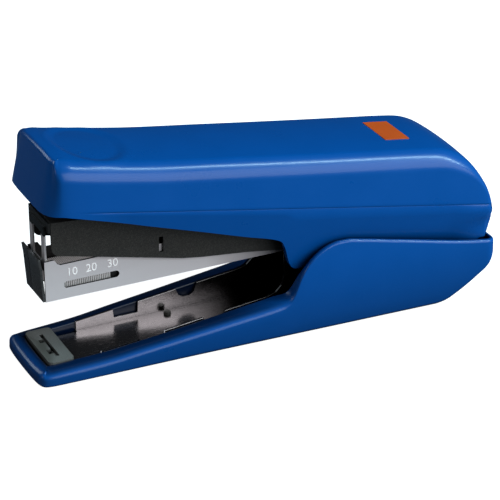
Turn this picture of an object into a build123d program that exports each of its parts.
from build123d import *
import math
import os

# Light-effort flat-clinch desk stapler, resting open.  Millimetres.
# Frame: origin at the centre of the footprint on the rest plane, +X to the rear hinge,
# +Y to the right-hand side seen from the rear, +Z up.
# Pieces are drafted from a datum ahead of the nose and moved to the origin on export.

FRONT, REAR = 9.4, 143.0         # base front edge and rear wall
ORIGIN_X = (FRONT + REAR) / 2    # origin, measured from the drafting datum
SIDES = (1, -1)                  # +Y, then -Y

# Pivots
MAIN_X, MAIN_Z = 120.0, 23.06    # main pin: magazine, driver arm and lift frame
MAIN_R = 2.0
HANDLE_X, HANDLE_Z = 100.0, 21.0 # handle pivot, carried by the lift frame
HANDLE_R = 1.75
ROLLER_X, ROLLER_Z = 62.9, 36.75 # rollers on the driver arm
ROLLER_PIN_R, ROLLER_R = 1.2, 3.0
RUN = 0.05                       # radial running clearance
FIT = 0.02                       # radial clearance of a fixed pin

# Nested side plates, inner and outer half widths
MAG_IN, MAG_OUT = 5.4, 6.0
ARM_IN, ARM_OUT = 6.3, 6.9
HANDLE_IN, HANDLE_OUT = 7.15, 7.75
LIFT_IN, LIFT_OUT = 8.0, 8.5
EAR_IN, EAR_OUT = 8.75, 9.35

# Heights
SHELL_Z = 0.4                    # underside of the base shell
FLOOR_Z = 1.2                    # top of the base shell's floor
FRAME_Z0, FRAME_Z1 = 2.2, 2.8    # steel frame floor
ANVIL_Z = 5.3
MAG_Z, MAG_TOP = 21.3, 31.1

# Screws through the base (x, y) and feet (x from, x to)
BASE_SCREWS = [(54.0, 6.6), (54.0, -6.6), (100.0, 6.6), (100.0, -6.6)]
FEET = ((19.0, 40.0), (104.0, 123.0))
FOOT_HALF_W = 10.5
FOOT_GAP = 0.1


# Drawing helpers
def fuse(shapes):
    return sum(shapes[1:], shapes[0])


def span(side, near, far):
    """Y limits, in rising order, of a band on one side."""
    return sorted((side * near, side * far))


def side_plate(points, y0, y1):
    """Closed X-Z polygon extruded from y0 to y1."""
    face = make_face(Polyline(*[(x, y0, z) for x, z in points], close=True))
    return extrude(face, amount=y1 - y0, dir=(0, 1, 0))


def plan_plate(points, z0, z1):
    """Closed X-Y polygon extruded from z0 to z1."""
    face = make_face(Polyline(*[(x, y, z0) for x, y in points], close=True))
    return extrude(face, amount=z1 - z0, dir=(0, 0, 1))


def end_plate(points, x0, x1):
    """Closed Y-Z polygon extruded from x0 to x1."""
    face = make_face(Polyline(*[(x0, y, z) for y, z in points], close=True))
    return extrude(face, amount=x1 - x0, dir=(1, 0, 0))


def both_sides(points, inner, outer):
    """The same X-Z plate on each side."""
    return side_plate(points, inner, outer) + side_plate(points, -outer, -inner)


def box(x0, x1, y0, y1, z0, z1):
    centre = Pos((x0 + x1) / 2, (y0 + y1) / 2, (z0 + z1) / 2)
    return centre * Box(x1 - x0, y1 - y0, z1 - z0)


def rod_x(y, z, radius, x0, x1):
    return Pos((x0 + x1) / 2, y, z) * Rot(0, 90, 0) * Cylinder(radius, x1 - x0)


def rod_y(x, z, radius, y0, y1):
    return Pos(x, (y0 + y1) / 2, z) * Rot(90, 0, 0) * Cylinder(radius, y1 - y0)


def rod_z(x, y, radius, z0, z1):
    return Pos(x, y, (z0 + z1) / 2) * Cylinder(radius, z1 - z0)


def main_rod(radius, y0, y1):
    return rod_y(MAIN_X, MAIN_Z, radius, y0, y1)


def handle_rod(radius, y0, y1):
    return rod_y(HANDLE_X, HANDLE_Z, radius, y0, y1)


def arc(u, v, radius, degrees):
    """Points on an arc about (u, v)."""
    return [(u + radius * math.cos(math.radians(a)), v + radius * math.sin(math.radians(a)))
            for a in degrees]


def mirrored(points):
    """Plan points reflected to the other side, in return order."""
    return [(x, -y) for x, y in reversed(points)]


def spring(radius, pitch, height, wire_r):
    helix = Helix(pitch=pitch, height=height, radius=radius)
    wire = Plane(origin=helix @ 0, z_dir=helix % 0) * Circle(wire_r)
    return sweep(wire, path=helix)


def cut_beyond(shape, p1, p2, p3, out):
    """Remove everything on the outer side of the plane through three points."""
    v1, v2, v3 = Vector(*p1), Vector(*p2), Vector(*p3)
    normal = (v2 - v1).cross(v3 - v1).normalized()
    if normal.dot(Vector(*out)) < 0:
        normal = normal * -1
    plane = Plane(origin=(v1 + v2) * 0.5, x_dir=(v2 - v1).normalized(), z_dir=normal)
    return shape - plane * Pos(0, 0, 40) * Box(400, 200, 80)


# Base shell
BASE_SIDE = [  # x, z
    (12.6, SHELL_Z), (126.0, SHELL_Z), (131.6, 2.9), (137.0, 6.4), (140.6, 9.3), (142.4, 12.0),
    (REAR, 15.0), (REAR, 16.9), (139.9, 17.2), (112.4, 22.7), (101.0, 25.2), (97.1, 25.9),
    (94.6, 25.9), (92.0, 25.2), (89.6, 24.1), (87.3, 22.5), (85.3, 20.3), (83.7, 17.8),
    (82.6, 15.4), (81.6, 12.9), (80.6, 11.5), (78.6, 10.8), (76.0, 10.4), (67.6, 9.5),
    (53.1, 7.9), (38.8, 6.4), (28.4, 5.3), (20.0, 4.9), (13.8, 4.6), (11.2, 4.45),
    (10.0, 4.1), (FRONT, 3.3), (9.5, 2.2), (10.6, 1.0)]
CAVITY_SIDE = [  # x, z
    (80.5, FLOOR_Z), (126.0, FLOOR_Z), (131.0, 4.6), (139.4, 10.4), (141.6, 13.6),
    (142.0, 15.5), (142.0, 40), (80.5, 40)]
RAIL_END = 79.6                  # low side rails end where the wall climbs
# Rail round-over planes: drop below the rim, distance in, then inward and upward slope
RAIL_CUTS = ((2.6, 0.0, 1.35, 1.65), (0.85, 1.4, 2.6, 0.8))
PADS = ((52, 56, 4.2), (96, 104, 4.2), (118, 124, 4.2), (26, 30, 4.8))  # x from, x to, inner y
PAD_OUT = 9.3


def base_half_width(x):
    return 13.3 + (x - 13.0) * (17.2 - 13.3) / 113.0


def rim_top(x):
    return 5.3 + 0.1075 * (x - 28.4)


def base_plan(inset, rear_inset):
    """Plan outline, bowed front and rounded rear corners, moved inwards."""
    def half_w(x):
        return base_half_width(x) - inset

    front, rear = FRONT + inset, REAR - rear_inset
    corner_r = 5.2 - 0.8 * inset
    rear_w = half_w(126.0)
    half = [(front, 0.0), (front + 0.06, 3.0), (front + 0.25, 6.0), (front + 0.6, 9.0),
            (front + 1.0, 11.0 - inset), (front + 1.5, 12.2 - inset),
            (front + 2.5, 13.0 - inset), (front + 4.0, half_w(front + 4.0) - 0.05),
            (front + 9.5, half_w(front + 9.5)), (60.0, half_w(60.0)), (126.0, rear_w),
            (rear - corner_r - 0.3, rear_w + 0.1)]
    half += arc(rear - corner_r, rear_w + 0.1 - corner_r, corner_r, (70, 50, 30, 10))
    half.append((rear, rear_w - 6.5))
    return half + mirrored(half[1:])


def base_shell():
    outer = side_plate(BASE_SIDE, -18, 18) & plan_plate(base_plan(0.0, 0.0), 0, 40)
    rails = outer & box(0, RAIL_END, -30, 30, -5, 60)
    for side in SIDES:
        for drop, run_in, step_in, rise in RAIL_CUTS:
            def edge(x, inward=0.0, up=0.0):
                y = base_half_width(x) - run_in - inward
                return (x, side * y, rim_top(x) - drop + up)
            rails = cut_beyond(rails, edge(18.0), edge(78.0), edge(50.0, step_in, rise),
                               (0, side, 1))
    outer = rails + (outer & box(RAIL_END, 150, -30, 30, -5, 60))
    # a narrow trough between the rails, opening into a wide cavity behind them
    trough = box(13.45, 82.0, -9.75, 9.75, FLOOR_Z, 45)
    cavity = side_plate(CAVITY_SIDE, -18, 18) & plan_plate(base_plan(1.5, 1.0), 0, 45)
    shell = outer - cavity - trough
    # the rails are hollow from below
    for side in SIDES:
        pocket = plan_plate([(20.0, side * 11.0), (79.0, side * 11.0),
                             (79.0, side * (base_half_width(79.0) - 1.6)),
                             (20.0, side * (base_half_width(20.0) - 1.6))], -1, 20)
        shell -= pocket & side_plate([(20.0, -1.0), (79.0, -1.0), (79.0, 8.2), (20.0, 1.9)],
                                     -20, 20)
    # frame pads on the floor, clear of the clincher lever
    for x0, x1, inner in PADS:
        for side in SIDES:
            shell += box(x0, x1, *span(side, inner, PAD_OUT), FLOOR_Z - 0.2, FRAME_Z0)
    # seat under the anvil plate's front leg
    shell += box(13.6, 15.2, -8.6, 8.6, FLOOR_Z - 0.2, 2.6)
    # screw holes and head recesses
    for x, y in BASE_SCREWS:
        shell -= rod_z(x, y, 1.35, -1, 6)
        shell -= rod_z(x, y, 2.7, 0, 1.15)
    for x0, x1 in FEET:
        shell -= box(x0, x1, -FOOT_HALF_W, FOOT_HALF_W, 0, 0.7)
    return shell


def rubber_feet():
    half_w = FOOT_HALF_W - FOOT_GAP
    pads = [box(x0 + FOOT_GAP, x1 - FOOT_GAP, -half_w, half_w, 0.0, 0.68) for x0, x1 in FEET]
    return fuse([fillet(pad.edges().filter_by(Axis.Z), 2.5) for pad in pads])


# Steel base frame: floor, low front flanges, tall rear ears
FRAME_REAR = 126.0
FLANGE_SIDE = [  # x, z
    (28.3, FRAME_Z0), (28.3, 5.3), (39.0, 6.45), (39.3, 4.0), (46.2, 4.0), (46.4, 7.25),
    (57.4, 8.45), *arc(60.6, 8.7, 3.1, (185, 225, 255, 285, 315, 355)), (63.8, 9.1),
    (76.4, 10.45), (79.0, 11.2), (80.7, 12.8), (81.4, 15.6), (81.4, 25.0), (83.4, 27.0),
    (124.5, 27.0), (FRAME_REAR, 25.5), (FRAME_REAR, FRAME_Z0)]


def base_frame():
    frame = both_sides(FLANGE_SIDE, EAR_IN, EAR_OUT)
    frame += box(21.4, FRAME_REAR, -EAR_OUT, EAR_OUT, FRAME_Z0, FRAME_Z1)
    frame -= main_rod(MAIN_R + FIT, -12, 12)
    # narrower floor ahead of the flanges
    frame -= fuse([box(21.0, 28.2, *span(side, EAR_IN - 0.9, 12), 0, 4) for side in SIDES])
    for x, y in BASE_SCREWS:
        frame -= rod_z(x, y, 1.0, 0, 5)
    return frame


def base_screws():
    """Cross-slotted screws, heads down."""
    length, width = 1.6, 0.3     # half sizes of each slot
    return fuse([rod_z(x, y, 0.98, 0.5, 3.6) + rod_z(x, y, 2.5, 0.45, 1.1)
                 - box(x - length, x + length, y - width, y + width, 0.3, 0.75)
                 - box(x - width, x + width, y - length, y + length, 0.3, 0.75)
                 for x, y in BASE_SCREWS])


# Anvil and flat-clinch mechanism
ANVIL_X0, ANVIL_X1, ANVIL_HALF_W = 13.9, 20.9, 9.3
ANVIL_UNDER = ANVIL_Z - 1.0
WING_Y, WING_Z, WING_PIN_R = 5.2, 3.75, 0.35    # wing pivots, axis along X
WING_END = [  # y, z
    (WING_Y + 0.75, 3.2), (WING_Y + 0.75, 4.35), (WING_Y, 4.75), (0.35, 4.0), (0.35, 2.9),
    (2.2, 2.75)]
LEVER_X, LEVER_Z, LEVER_HALF_W = 44.6, 1.70, 2.6    # rolled eye at the lever's rear


def anvil_plate():
    plate = box(ANVIL_X0, ANVIL_X1, -ANVIL_HALF_W, ANVIL_HALF_W, ANVIL_UNDER, ANVIL_Z)
    anvil = fillet(plate.edges().filter_by(Axis.Z), 1.2)
    # front and rear legs
    anvil += box(ANVIL_X0 + 0.1, ANVIL_X0 + 0.9, -8.0, 8.0, 2.65, 4.4)
    anvil += box(ANVIL_X1 - 0.8, ANVIL_X1 - 0.05, -8.0, 8.0, 2.85, 4.4)
    # staple slot, then the wing lug openings
    anvil -= box(16.85, 17.85, -6.3, 6.3, 3, 6)
    anvil -= box(15.6, 16.9, 1.9, 3.6, 3, 6) + box(15.6, 16.9, -4.6, -2.2, 3, 6)
    # side legs
    for side in SIDES:
        anvil += box(15.3, 19.3, *span(side, 6.5, 7.3), 2.65, 4.4)
    return anvil


def clincher_wing(side):
    wing = end_plate([(side * y, z) for y, z in WING_END], 17.05, 17.65)
    return wing - rod_x(side * WING_Y, WING_Z, WING_PIN_R + 0.03, 16, 19)


def clincher_wing_right():
    return clincher_wing(1)


def clincher_wing_left():
    return clincher_wing(-1)


def clincher_pins():
    return fuse([rod_x(side * WING_Y, WING_Z, WING_PIN_R, 16.0, 18.7) for side in SIDES])


def clincher_lever():
    half_w = LEVER_HALF_W
    # flat strip with an upturned tab in front
    lever = box(16.7, LEVER_X, -half_w, half_w, 1.3, 1.75) + box(16.8, 17.9, -2.2, 2.2, 1.3, 2.6)
    # trim the rear end and replace it with the eye
    lever -= box(43.9, 45.5, -2.7, 2.7, 1.0, 2.3)
    lever += (rod_y(LEVER_X, LEVER_Z, 0.47, -half_w, half_w)
              + box(43.6, 44.4, -half_w, half_w, 1.35, 1.75))
    return lever - rod_y(LEVER_X, LEVER_Z, 0.28, -3, 3)


def clincher_lever_pin():
    return rod_y(LEVER_X, LEVER_Z, 0.25, -3.6, 3.6)


# Main pin, clip, bush and return spring
def hinge_pin():
    return main_rod(MAIN_R, -9.7, 9.7) + main_rod(3.0, -9.75, -9.4)


def pin_clip():
    ring = main_rod(3.3, 9.4, 9.72) - main_rod(MAIN_R + 0.01, 9, 10)
    return ring - box(MAIN_X + 0.5, MAIN_X + 5, 9, 10, MAIN_Z - 1.3, MAIN_Z + 1.3)


def pivot_bush():
    return main_rod(3.0, -5.2, 5.2) - main_rod(MAIN_R + RUN, -6, 6)


def return_spring():
    turns, pitch = 6, 1.15
    coil = spring(radius=3.75, pitch=pitch, height=turns * pitch, wire_r=0.45)
    return Pos(MAIN_X, -turns * pitch / 2, MAIN_Z) * Rot(-90, 0, 0) * coil


# Magazine and staple feed
MAG_REAR = 106.0                 # rear end of the magazine floor
MAG_SIDE = [  # x, z
    (14.9, MAG_Z), (14.9, 32.7), (17.6, 32.8), (18.4, 31.6), (19.3, MAG_TOP),
    (30.0, MAG_TOP + 0.1), (72.0, MAG_TOP), (100.0, 29.5), (118.0, 27.6), (122.5, 27.3),
    (124.6, 25.0), (124.6, 21.0), (122.5, 18.9), (117.5, 18.6), (112.0, 20.0),
    (MAG_REAR, MAG_Z)]
WINDOW_X0, WINDOW_X1, WINDOW_Z, WINDOW_R = 20.9, 34.4, 25.2, 0.95
NOSE_SIDE = [  # x, z
    (14.15, 21.45), (14.85, 21.45), (14.25, 31.0), (13.85, 33.7), (13.2, 33.7), (13.55, 30.8)]
RAIL_X0, RAIL_X1, RAIL_Z0, RAIL_Z1 = 18.2, 98.0, 22.0, 27.2
RAIL_IN, RAIL_OUT = 3.5, 4.1
ROD_Z = 29.8                     # pusher rod axis
STAPLE_PITCH = 0.507
STAPLES = 33
STRIP_X0 = 16.6
STRIP_X1 = STRIP_X0 + STAPLE_PITCH * STAPLES
PUSHER_X0, PUSHER_X1 = STRIP_X1 + 0.15, STRIP_X1 + 9.6
PUSHER_IN, PUSHER_OUT = 4.4, 4.95


def magazine():
    mag = both_sides(MAG_SIDE, MAG_IN, MAG_OUT)
    mag += box(24.0, MAG_REAR, -MAG_OUT, MAG_OUT, MAG_Z, MAG_Z + 0.6)
    mag -= main_rod(MAIN_R + RUN, -8, 8)
    # gauge window in both walls, rounded ends
    z0, z1 = WINDOW_Z - WINDOW_R, WINDOW_Z + WINDOW_R
    for side in SIDES:
        y0, y1 = span(side, 5.0, 6.5)
        mag -= side_plate([(WINDOW_X0, z0), (WINDOW_X1, z0), (WINDOW_X1, z1), (WINDOW_X0, z1)],
                          y0, y1)
        mag -= (rod_y(WINDOW_X1, WINDOW_Z, WINDOW_R, y0, y1)
                + rod_y(WINDOW_X0, WINDOW_Z, WINDOW_R, y0, y1))
    # slot for the spring seat's tab
    return mag - box(101.4, 102.6, -1.6, 1.6, 21, 22.4)


def magazine_nose():
    return side_plate(NOSE_SIDE, -6.0, 1.7) + side_plate(NOSE_SIDE, 1.95, 6.0)


def staple_rail():
    wall = [(RAIL_X0, RAIL_Z0), (RAIL_X1, RAIL_Z0), (RAIL_X1, RAIL_Z1), (RAIL_X0, RAIL_Z1)]
    top = box(RAIL_X0, RAIL_X1, -RAIL_OUT, RAIL_OUT, 26.7, RAIL_Z1)
    return top + both_sides(wall, RAIL_IN, RAIL_OUT)


def spring_seat():
    seat = box(98.6, 101.0, -5.2, 5.2, 22.0, 31.3) + box(101.0, 102.3, -1.4, 1.4, 22.0, 25.0)
    return seat - rod_x(0, ROD_Z, 0.9, 98, 102)


def pusher_rod():
    return rod_x(0, ROD_Z, 0.88, 30.0, 101.6)


def pusher():
    """Saddle over the rail with a block bored for the rod."""
    x0, x1, top = PUSHER_X0, PUSHER_X1, 28.4
    saddle = (box(x0, x1, -PUSHER_OUT, PUSHER_OUT, 27.5, top)
              + box(x0, x1, PUSHER_IN, PUSHER_OUT, 22.15, top)
              + box(x0, x1, -PUSHER_OUT, -PUSHER_IN, 22.15, top)
              + box(x0 + 0.6, x1 - 0.4, -2.6, 2.6, 28.2, 31.2))
    return saddle - rod_x(0, ROD_Z, 0.93, 20, 60)


def pusher_spring():
    height = (98.3 - (PUSHER_X1 + 0.3)) * 0.985
    coil = spring(radius=1.75, pitch=height / 24, height=height, wire_r=0.28)
    return Pos(PUSHER_X1 + 0.35, 0, ROD_Z) * Rot(0, 90, 0) * coil


def staple_strip():
    """Saw-toothed sides show each glued staple."""
    teeth = []
    for i in range(STAPLES):
        x = STRIP_X0 + i * STAPLE_PITCH
        end = x + STAPLE_PITCH
        teeth += [(x + 0.03, 4.82), (x + 0.10, 4.95), (end - 0.10, 4.95), (end - 0.03, 4.82)]
    strip = plan_plate(teeth + mirrored(teeth), 22.1, 28.0)
    return strip - box(STRIP_X0 - 1, STRIP_X1 + 1, -4.4, 4.4, 21, 27.5)


# Driver arm, blade and rollers
ARM_SIDE = [  # x, z
    *arc(19.2, 36.6, 2.5, [180 + 16.4 * i for i in range(6)]), (29.6, 31.6), (53.0, 26.0),
    (59.0, 25.1), (71.0, 23.8), (90.0, 21.0), (111.0, 18.0), (122.0, 17.6), (125.2, 19.6),
    (126.0, 23.0), (125.2, 26.4), (122.5, 28.4), (110.0, 32.0), (91.4, 36.9), (60.0, 40.6),
    (16.7, 43.8)]
ARM_HOLLOW = [  # x, z
    (10.0, 43.2), (60.0, 39.95), (91.2, 36.25), (109.8, 31.35), (122.0, 27.8), (128.0, 26.0),
    (128.0, 0.0), (10.0, 0.0)]
BLADE_RIVET_Y, BLADE_RIVET_Z = 4.4, 41.65


def driver_arm():
    arm = side_plate(ARM_SIDE, -ARM_OUT, ARM_OUT)
    arm -= side_plate(ARM_HOLLOW, -ARM_IN, ARM_IN)
    arm -= box(122.6, 130, -ARM_IN, ARM_IN, 10, 40)
    arm -= main_rod(MAIN_R + RUN, -9, 9)
    arm -= rod_y(ROLLER_X, ROLLER_Z, ROLLER_PIN_R + FIT, -9, 9)
    # upright slot in each wall
    return arm - (box(46.3, 47.5, -8, -ARM_IN + 0.2, 29.2, 33.6)
                  + box(46.3, 47.5, ARM_IN - 0.2, 8, 29.2, 33.6))


def driver_holder():
    return box(15.95, 21.5, -6.2, 6.2, 41.0, 42.3) + box(15.95, 16.6, -6.9, 6.9, 41.0, 43.8)


def driver_blade():
    """Blade with a central opening and a square hole for each rivet."""
    blade = box(15.35, 15.9, -5.25, 5.25, 29.3, 42.4) - box(15, 16.5, -3.1, 3.1, 31.8, 40.2)
    for side in (-1, 1):
        y, z = side * BLADE_RIVET_Y, BLADE_RIVET_Z
        blade -= box(15, 16.5, y - 0.35, y + 0.35, z - 0.35, z + 0.35)
    return blade


def driver_rivets():
    return fuse([rod_x(side * BLADE_RIVET_Y, BLADE_RIVET_Z, 0.33, 15.3, 15.94)
                 for side in SIDES])


def roller_pin():
    return rod_y(ROLLER_X, ROLLER_Z, ROLLER_PIN_R, -7.85, 7.85)


def arm_rollers():
    return fuse([rod_y(ROLLER_X, ROLLER_Z, ROLLER_R, *span(side, 7.0, 7.8))
                 - rod_y(ROLLER_X, ROLLER_Z, ROLLER_PIN_R + RUN, -9, 9) for side in SIDES])


# Lift frame: carries the handle pivot and swings up with handle and arm for loading
LIFT_SIDE = [  # x, z
    (95.5, 18.5), (98.5, 17.2), (120.0, 18.2), (125.0, 20.0), (129.5, 24.0), (129.5, 32.0),
    (127.5, 34.0), (124.0, 34.0), (122.5, 30.0), (116.0, 27.5), (98.5, 25.2), (95.5, 23.5)]
LIFT_BRIDGE = [  # x, z of the bent strip joining the plates at the rear
    (128.7, 26.5), (129.5, 26.5), (129.5, 32.0), (127.5, 34.0), (124.0, 34.0), (124.0, 33.2),
    (127.2, 33.2), (128.7, 31.7)]


def lift_frame():
    lift = both_sides(LIFT_SIDE, LIFT_IN, LIFT_OUT) + side_plate(LIFT_BRIDGE, -LIFT_OUT, LIFT_OUT)
    lift -= main_rod(MAIN_R + RUN, -9, 9)
    return lift - handle_rod(HANDLE_R + FIT, -9, 9)


def handle_rivets():
    return fuse([handle_rod(HANDLE_R, *span(side, 7.1, LIFT_OUT))
                 + handle_rod(2.6, *span(side, LIFT_OUT, 8.68)) for side in SIDES])


# Handle: inner frame with its cam edge, shell, inlay, screws
CAM_Z = ROLLER_Z + ROLLER_R + 0.15
HANDLE_STRIP = [(56.0, 51.7), (108.0, 44.2), (108.0, 44.9), (56.0, 52.4)]  # x, z
HANDLE_FRAME_SIDE = [  # x, z
    (56.0, CAM_Z), (71.0, CAM_Z), (80.0, 33.0), (90.0, 22.5), (95.0, 17.0), (98.0, 16.2),
    (102.5, 16.6), (104.6, 19.0), (106.0, 30.0), *HANDLE_STRIP[1:]]
HANDLE_SCREWS = ((66.0, 51.5, 49.9), (98.0, 46.9, 45.3))  # x, boss bottom z, screw head top z
TOP_EDGE = [  # x, z of the roof's long side edges
    (16.5, 62.7), (28.0, 60.2), (45.0, 57.0), (65.0, 54.0), (83.0, 51.3), (98.0, 49.1),
    (113.5, 46.9), (127.0, 45.0)]
ROOF_X = (22.0, 28.0, 45.0, 65.0, 83.0, 98.0, 113.5, 126.5)
WALL = 2.0
CROWN, SHOULDER_R, SKIRT = 1.2, 4.5, 0.23    # roof crown, shoulder radius, draft per mm
INLAY_X0, INLAY_X1, INLAY_HALF_W = 112.9, 120.4, 6.4


def handle_frame():
    frame = both_sides(HANDLE_FRAME_SIDE, HANDLE_IN, HANDLE_OUT)
    frame += side_plate(HANDLE_STRIP, -HANDLE_OUT, HANDLE_OUT)
    frame -= handle_rod(HANDLE_R + RUN, -9, 9)
    for x, _, _ in HANDLE_SCREWS:
        frame -= rod_z(x, 0, 1.3, 40, 54)
    return frame


def top_edge(x):
    """Height of the roof edge, for x up to the last station."""
    for (x0, z0), (x1, z1) in zip(TOP_EDGE, TOP_EDGE[1:]):
        if x <= x1:
            return z0 + (z1 - z0) * (x - x0) / (x1 - x0)


def crease_z(x):
    return 48.4 - 0.182 * (x - 26.6)


def side_y(x):
    return 15.6 + (x - 28.0) * 0.0101


def handle_plan(inset):
    front, rear = 13.25 + inset, REAR - inset
    rear_w = side_y(135.0) - inset
    half = [(front, 0.0), (front + 0.05, 4.0), (front + 0.15, 7.0),
            (front + 0.35, 9.6 - 0.6 * inset), (front + 0.95, 11.6 - 0.8 * inset),
            (front + 2.05, 13.3 - inset), (front + 3.6, 14.6 - inset),
            (front + 5.6, 15.35 - inset), (front + 9.0, side_y(front + 9.0) - inset),
            (rear - 8.0, rear_w), *arc(rear - 7.5, rear_w - 7.5, 7.5, (65, 40, 15)),
            (rear, rear_w - 9.0)]
    return half + mirrored(half[1:])


def roof_line(stations, inset):
    return [(x, top_edge(x) + CROWN - inset) for x in stations]


def handle_body(inset, profile):
    """Handle solid: drafted skirts, faceted shoulders and crowned roof, moved inwards."""
    body = side_plate(profile, -18, 18) & plan_plate(handle_plan(inset), -10, 80)
    radius = SHOULDER_R - 0.6 * inset
    for side in SIDES:
        def wall(x, inward=0.0, down=0.0):
            return (x, side * (side_y(x) - inset - inward), crease_z(x) - down)
        body = cut_beyond(body, wall(20), wall(140), wall(80, SKIRT * 20, 20), (0, side, -0.2))
        for angle in (25.0, 55.0):
            c, s = math.cos(math.radians(angle)), math.sin(math.radians(angle))

            def tangent(x):
                return (x, side * (side_y(x) - 0.2 - inset - radius + radius * c),
                        top_edge(x) - inset - radius + radius * s)
            x, y, z = tangent(83.0)
            body = cut_beyond(body, tangent(28.0), tangent(127.0), (x, y - side * s, z + c),
                              (0, side * c, s))
        body = cut_beyond(body, (28.0, side * 6.6, top_edge(28.0) + CROWN - inset),
                          (127.0, side * 6.6, top_edge(127.0) + CROWN - inset),
                          (83.0, side * 12.2, top_edge(83.0) + 0.1 - inset), (0, side * 0.1, 1))
    return body


HANDLE_OUTER = [  # x, z
    (13.25, 49.0), (15.95, 61.3), (16.5, 62.6), (17.7, 63.3), (19.2, 63.5),
    *roof_line(ROOF_X, 0.0), (131.5, 45.2), (135.2, 41.4), (138.6, 36.2), (141.0, 31.8),
    (142.4, 27.6), (142.9, 23.0), (142.5, 19.6), (142.1, 17.8), (138.6, 17.8), (136.6, 15.6),
    (134.0, 14.8), (100.0, 17.4), (86.0, 19.0), (84.2, 18.2), (82.6, 18.5), (81.6, 20.6),
    (80.4, 24.0), (79.4, 27.0), (77.6, 28.9), (68.6, 31.9), (54.3, 36.8), (40.5, 41.4),
    (27.0, 46.1), (18.0, 48.8)]
HANDLE_INNER = [  # x, z
    (15.3, 20.0), (15.3, 49.4), (17.7, 60.3), (19.2, 61.3), *roof_line(ROOF_X[:-1], WALL),
    (125.8, 44.4), (130.2, 43.0), (133.4, 39.9), (136.7, 34.9), (139.0, 30.9), (140.4, 27.2),
    (140.9, 23.0), (140.6, 19.5), (140.4, 10.0)]


def inlay_block(grow, z0, z1):
    """Block lying along the roof slope, z measured from the roof crown."""
    slope = math.degrees(math.atan2(top_edge(120.0) - top_edge(113.5), 6.5))
    place = Pos((INLAY_X0 + INLAY_X1) / 2, 0, top_edge(116.6) + CROWN) * Rot(0, -slope, 0)
    return place * Pos(0, 0, (z0 + z1) / 2) * Box(
        INLAY_X1 - INLAY_X0 + grow, 2 * INLAY_HALF_W + grow, z1 - z0)


def handle_shell():
    shell = handle_body(0.0, HANDLE_OUTER) - handle_body(WALL, HANDLE_INNER)
    for x, boss_z, _ in HANDLE_SCREWS:
        shell += rod_z(x, 0, 2.6, boss_z, top_edge(x) + 0.2)
        shell -= rod_z(x, 0, 0.85, boss_z - 1, top_edge(x) - 0.1)
    return shell - inlay_block(0.1, -0.75, 4.0)


def label_inlay():
    return inlay_block(0.0, -0.7, 0.02)


def handle_screws():
    return fuse([rod_z(x, 0, 0.95, head_z - 0.7, top_edge(x) - 0.4)
                 + rod_z(x, 0, 2.2, head_z - 1.2, head_z) for x, _, head_z in HANDLE_SCREWS])


# Each piece is saved under its function's name
PIECES = (
    base_shell, rubber_feet, base_frame, base_screws, anvil_plate, clincher_wing_right,
    clincher_wing_left, clincher_pins, clincher_lever, clincher_lever_pin, hinge_pin, pin_clip,
    pivot_bush, return_spring, magazine, magazine_nose, staple_rail, spring_seat, pusher_rod,
    pusher, pusher_spring, staple_strip, driver_arm, driver_holder, driver_blade,
    driver_rivets, roller_pin, arm_rollers, lift_frame, handle_rivets, handle_frame,
    handle_shell, label_inlay, handle_screws)

os.makedirs("parts", exist_ok=True)
for piece in PIECES:
    export_step(Pos(-ORIGIN_X, 0, 0) * piece(), f"parts/{piece.__name__}.step")
